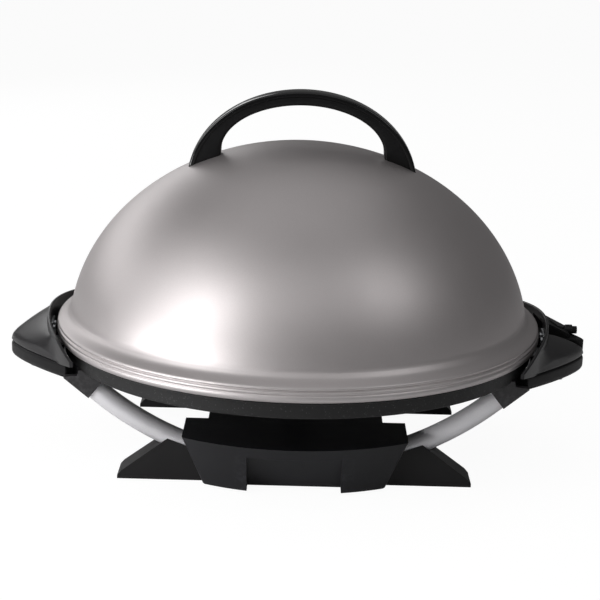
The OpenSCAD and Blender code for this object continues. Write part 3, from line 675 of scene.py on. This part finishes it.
def upper_loop(y):
    """one cross-section (x, z) of the upper shell, closed along the inner wall: a nearly straight slope
    from above the groove up to the collar, with soft ends"""
    zl, zt = z_low(y), z_top(y)
    x1, xin = circ_x(COLLAR_R, y), circ_x(COLLAR_IN, y)
    x0 = max(ox(y), x1 + 0.01)
    k = max(0.0, min(1.0, (x0 - x1) / 10.0))
    za, zb = zl + 2.4 + 3.5 * k, zt - 1.4 - 4.6 * k
    p = []
    p.append((xin, zl + 0.2))
    p.append((max(x1 - 0.8, x0 - 4.6), zl))
    p.append((max(x1 - 0.4, x0 - 1.9), zl + 0.05))
    p.append((max(x1 - 0.2, x0 - 0.8), zl + 0.35 * (0.4 + 0.6 * k)))
    p.append((max(x1 - 0.1, x0 - 0.2), zl + 0.25 + 1.0 * k))
    # upright band, then the slope with a rounded start
    p.append((x0 - 0.02, zl + 2.2))
    n = 20
    for i in range(n + 1):
        u = i / n
        xx = x0 + (x1 + 0.55 * k - x0) * u
        zz = za + (zb - za) * u + 10 * u * (1 - u) * k
        e = max(0.0, 1 - u / 0.12)
        p.append((xx - 0.9 * k * e * e, zz - 0.5 * k * e * e))
    # small groove, then the collar's own edge
    p.append((x1 + 0.22 * k, zb - 0.15 * k + 0.05))
    p.append((x1 + 0.05, zb + 0.55))
    p.append((x1 - 0.02, zt - 1.25))
    p.append((x1 - 0.12, zt - 0.62))
    p.append((x1 - 0.55, zt - 0.15))
    p.append((x1 - 1.3, zt))
    p.append((xin + 0.75, zt - 0.1))
    p.append((xin + 0.2, zt - 0.5))
    p.append((xin, zt - 1.2))
    for i in range(1, 6):
        p.append((xin, zt - 1.2 + (zl + 0.2 - zt + 1.2) * i / 6))
    return p


# plan line of the recess in the right handle: from the collar out to the tip
RLY = 39.5                              # where that line meets the collar, in front of the middle


def handle_stations():
    ys = []
    for i in range(-40, 41):
        a = abs(i) / 40
        y = HB * (a ** 0.9) / (0.7 ** 0.9) if a <= 0.7 else HB + (a - 0.7) / 0.3 * 23.0
        ys.append(math.copysign(y, i))
    return ys


def build_side_handles():
    ys = handle_stations()
    # left: whole shell
    loops = [[(-x, y, z) for x, z in upper_loop(y)] for y in ys]
    loft("left_handle_shell", loops, M["handle_phenolic"], "base", replaces=("left_handle_upper",), slot="handle_phenolic", sharp=40)
    # right: the same shell with the recess taken out
    loops = [[(x, y, z) for x, z in upper_loop(y)] for y in ys]
    o = loft("right_handle_shell", loops, M["handle_phenolic"], "base", replaces=("right_handle_upper",), slot="handle_phenolic", sharp=40)
    arc = [(circ_x(COLLAR_R + 0.35, y), y) for y in [45 - k * (45 + RLY) / 30 for k in range(31)]]
    plan = [(284.0, -0.5), (300, 0.5), (300, 45)] + arc
    cut(o, plan, 97.0, 160.0)
    cut(o, [(224, 2), (254, 2), (254, 42), (224, 42)], 90.0, 127.5)
    o.data.shade_smooth()

    def lower_loops(sign):
        loops = []
        for i in range(-34, 35):
            a = abs(i) / 34
            y = math.copysign(HB * a ** 0.92, i)
            zb, zm = z_bot(y), z_mid(y) - 0.9
            xo, xi = ox(y), circ_x(RING_R + 0.6, y)
            r = min(6.0, (xo - xi) * 0.45)
            p = [(xi, zb), (xi + (xo - xi) * 0.5, zb)]
            for k in range(7):
                q = -pi / 2 + pi / 2 * k / 6
                p.append((xo - r + r * cos(q), zb + r + r * sin(q)))
            p += [(xo, zm - 3.4), (xo - 0.05, zm - 1.7), (xo - 0.45, zm - 0.7), (xo - 1.3, zm - 0.15), (xo - 1.9, zm), (xo - 2.1, zm + 0.5), (xo - 2.2, zm + 2.0), (max(xi + 1, xo - 5), zm + 2.0), (xi, zm + 2.0 if xi > COLLAR_R else zm - 0.2)]
            loops.append([(sign * x, y, z) for x, z in p])
        return loops
    left = loft("left_handle_base", lower_loops(-1), M["handle_lower"], "base", replaces=("left_handle_lower",), slot="handle_phenolic", sharp=40)
    o = loft("right_handle_base", lower_loops(1), M["handle_lower"], "base", replaces=("right_handle_lower",), slot="handle_phenolic", sharp=40)
    plan = [(284, -0.5), (300, 0.5), (300, 44), (229, 44), (229, 2)]
    cut(o, plan, 97.0, 160.0)
    for sh, sg in ((left, -1), (o, 1)):
        for e in (-1, 1):
            # the ends are open
            ends = [(sg * circ_x(RING_R + 0.9, a), e * a) for a in (95, 99, 103, 107)] + [(sg * (ox(a) - 1.1), e * a) for a in (107, 103, 99, 95)]
            cut(sh, ends, 93.6, 110.0)
    # floor of the recess, sitting in the lower shell
    pts = rounded([(243.2, -34.5), (280.2, -3.2), (281.0, 1.5), (262.2, 43.5), (236.5, 43.5), (240.6, 20), (243.4, 0)], 0.6, 3)
    prism("right_handle_floor", pts, "Z", 94.6, 97.0, M["handle_lower"], "base", bevel=0.4, slot="handle_phenolic")


def cut(o, plan, z0, z1):
    """takes an upright prism out of a mesh, once, and cleans up the cutter"""
    m = len(plan)
    me = bpy.data.meshes.new("cutter")
    verts = [(p[0] * S, p[1] * S, z0 * S) for p in plan] + [(p[0] * S, p[1] * S, z1 * S) for p in plan]
    faces = [tuple(range(m)), tuple(reversed(range(m, 2 * m)))] + [(j, (j + 1) % m, m + (j + 1) % m, m + j) for j in range(m)]
    me.from_pydata(verts, [], faces)
    bm = bmesh.new(); bm.from_mesh(me); bmesh.ops.recalc_face_normals(bm, faces=bm.faces); bm.to_mesh(me); bm.free()
    c = bpy.data.objects.new("cutter", me)
    bpy.context.scene.collection.objects.link(c)
    md = o.modifiers.new("Cut", "BOOLEAN")
    md.operation = "DIFFERENCE"
    md.object = c
    md.solver = "EXACT"
    bpy.context.view_layer.update()
    dg = bpy.context.evaluated_depsgraph_get()
    new = bpy.data.meshes.new_from_object(o.evaluated_get(dg))
    o.modifiers.remove(md)
    bpy.data.objects.remove(c)
    mats = list(o.data.materials)
    o.data = new
    new.materials.clear()
    for x in mats:
        new.materials.append(x)
    new.shade_smooth()
    new.set_sharp_from_angle(angle=rad(40))


# ------------------------------------------------------------------ stand
def tube_point(x):
    return TUBE_ZC - sqrt(TUBE_ARC ** 2 - x * x)


def build_tubes():
    half = math.asin(194 / TUBE_ARC)
    for name, s in (("front", -1), ("rear", 1)):
        loops = []
        n, k = 96, 40
        prof = []
        for i in range(n + 1):
            a = -half + 2 * half * i / n
            c = Vector((TUBE_ARC * sin(a), s * TUBE_Y, TUBE_ZC - TUBE_ARC * cos(a)))
            rdir = Vector((sin(a), 0, -cos(a)))
            loops.append([tuple(c + (rdir * cos(2 * pi * j / k) + Vector((0, 1, 0)) * sin(2 * pi * j / k)) * 10.0) for j in range(k)])
        loft(name + "_leg_pipe", loops, M["leg_silver"], "base", replaces=(name + "_leg_tube",), slot="leg_silver", sharp=50)


def foot_top(x):
    pts = [(62, 21.4), (80, 26.4), (101, 33), (118.5, 39.4), (161.4, 8), (165, 3.8)]
    for (a, za), (b, zb) in zip(pts, pts[1:]):
        if x <= b:
            return za + (zb - za) * (x - a) / (b - a)
    return 3.8


def build_feet():
    xs = [62, 66, 71, 76, 82, 88, 94, 100, 106, 112, 118.5, 122, 126, 131, 138, 146, 154, 161.4, 165]
    arc = [i * 10.05 / 6 for i in range(-6, 7)]
    for sx in (-1, 1):
        for sy in (-1, 1):
            loops = []
            for x in xs:
                zt = foot_top(x)
                zc = tube_point(x)
                ct = sqrt(1 - (x / TUBE_ARC) ** 2)
                front = lambda z: -TUBE_Y - 15.3 + z * math.tan(rad(7.2))
                row = [(front(0.6), 0.6), (front(zt), zt)]
                for a in arc:
                    y = -TUBE_Y + a
                    z = min(zt, zc - sqrt(max(0, 10.05 ** 2 - a * a)) / ct)
                    row.append((y, z))
                row += [(-TUBE_Y + 15.5, zt), (-TUBE_Y + 15.5, 0.6)]
                loops.append([(sx * x, y * (1 if sy < 0 else -1), z) for y, z in row])
            name = ("front" if sy < 0 else "rear") + ("_left" if sx < 0 else "_right")
            loft(name + "_foot_block", loops, M["stand_black"], "base", replaces=(name + "_foot",), slot="stand_black", bevel=0.9, segs=3)


def build_brackets():
    for n in ("front_left", "front_right", "rear_left", "rear_right"):
        from_cad(n + "_bracket", n + "_bracket_block", M["bracket_grey"], "base", bevel=0.9, segs=3)


# ------------------------------------------------------------------ drip tray
def build_tray():
    def skin(p):
        """how far outside the pocket's outer side wall a point is"""
        return abs(p.x) - (84 + (p.z - 3) * 0.39)

    def upright(a, b):
        d = b - a
        return d.length > 1.0 and abs(d.z) > 0.7 * d.length and min(a.y, b.y) < -100

    def outer(a, b, ang):
        return upright(a, b) and skin((a + b) / 2) > -1.2

    def inner(a, b, ang):
        return upright(a, b) and -4.5 < skin((a + b) / 2) < -1.2

    def pull(a, b, ang):
        m = (a + b) / 2
        return m.y < -122 and abs(m.x) < 46 and m.z < 50

    def foot_line(a, b, ang):
        m = (a + b) / 2
        return m.y < -122 and m.z < 5.5 and abs(m.x) > 46

    def shape(bm):
        round_edges(bm, outer, 8.0, 6)
        round_edges(bm, inner, 6.0, 6)
        round_edges(bm, pull, 3.0, 4)
        round_edges(bm, foot_line, 2.0, 3)
    return from_cad("drip_tray", "drip_tray_shell", M["tray_black"], "tray", bevel=1.1, segs=3, sharp=35, shape=shape)


# ------------------------------------------------------------------ control
def build_control():
    from_cad("control_housing_upper", "control_case_top", M["control_black"], "control", bevel=0.7, segs=2)
    from_cad("control_housing_lower", "control_case_bottom", M["control_black"], "control", bevel=0.5, segs=2)


def give(node, mat):
    o = frame["nodes"][node]
    o.data.materials.clear()
    o.data.materials.append(M[mat])


def dress_cad():
    slots = {s["node"]: s["material_slot"] for s in frame["record"]["subparts"]}
    for n, o in frame["nodes"].items():
        give(n, slots[n])


# ------------------------------------------------------------------ stage
def build_stage():
    me = bpy.data.meshes.new("floor")
    me.from_pydata([(-9, -9, 0), (9, -9, 0), (9, 9, 0), (-9, 9, 0)], [], [(0, 1, 2, 3)])
    o = bpy.data.objects.new("floor", me)
    bpy.context.scene.collection.objects.link(o)
    m = Nodes("floor_paper", (0.86, 0.86, 0.86), 0.8, spec=0.1)
    m.color(m.mix(m.noise(3, 2), (0.86, 0.86, 0.86), (0.88, 0.88, 0.88)))
    m.bump(m.noise(300, 2), 0.02, 0.0005)
    # the paper is lit up to white where it is seen, its shadows stay faint
    glow = m.new("ShaderNodeEmission")
    glow.inputs["Strength"].default_value = 1.08
    path = m.new("ShaderNodeLightPath")
    mixer = m.new("ShaderNodeMixShader")
    m.link(m.math("MULTIPLY", path.outputs["Is Camera Ray"], 0.88), mixer.inputs["Fac"])
    m.link(m.b.outputs["BSDF"], mixer.inputs[1])
    m.link(glow.outputs["Emission"], mixer.inputs[2])
    m.link(mixer.outputs[0], m.t.nodes["Material Output"].inputs["Surface"])
    me.materials.append(m.mat)

    def area(name, az, el, dist, size, power, size_y=None, spread=180):
        """a softbox seen from the object at azimuth az (0 = front, 90 = right) and height el"""
        az, el = rad(az), rad(el)
        t = Vector((0, 0, 0.16))
        loc = t + Vector((sin(az) * cos(el), -cos(az) * cos(el), sin(el))) * dist
        l = bpy.data.lights.new(name, "AREA")
        l.energy = power
        l.size = size
        l.spread = rad(spread)
        if size_y:
            l.shape = "RECTANGLE"
            l.size_y = size_y
        ob = bpy.data.objects.new(name, l)
        ob.location = loc
        ob.rotation_euler = (t - loc).to_track_quat("-Z", "Y").to_euler()
        bpy.context.scene.collection.objects.link(ob)
        return ob
    area("key", -50, 30, 2.0, 0.72, 7.2)
    area("key_soft", -64, 33, 2.0, 1.8, 8.5)
    area("front_right", 54, 43, 2.2, 0.8, 4.3, 1.0)
    area("front", 0, 48, 2.4, 1.4, 3.4)
    area("low_left", -55, 1, 1.7, 1.2, 12, 0.3)
    area("top", 180, 74, 2.2, 2.0, 4.5)
    area("back", -136, 20, 2.4, 3.2, 12, 0.8)

    w = bpy.data.worlds.new("studio")
    bpy.context.scene.world = w
    w.use_nodes = True
    t = w.node_tree
    bg = t.nodes["Background"]
    bg.inputs["Color"].default_value = (1, 1, 1, 1)
    path = t.nodes.new("ShaderNodeLightPath")
    k = t.nodes.new("ShaderNodeMapRange")
    k.inputs["To Min"].default_value = 0.11
    k.inputs["To Max"].default_value = 1.06
    t.links.new(path.outputs["Is Camera Ray"], k.inputs["Value"])
    t.links.new(k.outputs["Result"], bg.inputs["Strength"])
    bpy.context.scene.view_settings.view_transform = "Standard"


def build_camera():
    cam = bpy.data.cameras.new("camera")
    o = bpy.data.objects.new("camera", cam)
    bpy.context.scene.collection.objects.link(o)
    e, roll, dist = rad(16.08), rad(1.5), 1.521
    target = Vector((0, 0, 0.118))
    loc = target + Vector((0, -cos(e) * dist, sin(e) * dist))
    q = (target - loc).to_track_quat("-Z", "Y")
    # the object's right side is a little lower in the picture
    o.matrix_world = Matrix.Translation(loc) @ q.to_matrix().to_4x4() @ Matrix.Rotation(roll, 4, "Z")
    cam.sensor_width = 36
    cam.sensor_fit = "HORIZONTAL"
    cam.lens = 1545.6 / 600 * 36
    cam.shift_x = (300 - 297.99) / 600
    cam.shift_y = (327.03 - 300) / 600
    cam.clip_end = 50
    bpy.context.scene.camera = o


dress_cad()
build_lid()
build_lid_handle()
build_base()
build_plate()
build_side_handles()
build_tubes()
build_feet()
build_brackets()
build_tray()
build_control()
build_stage()
build_camera()
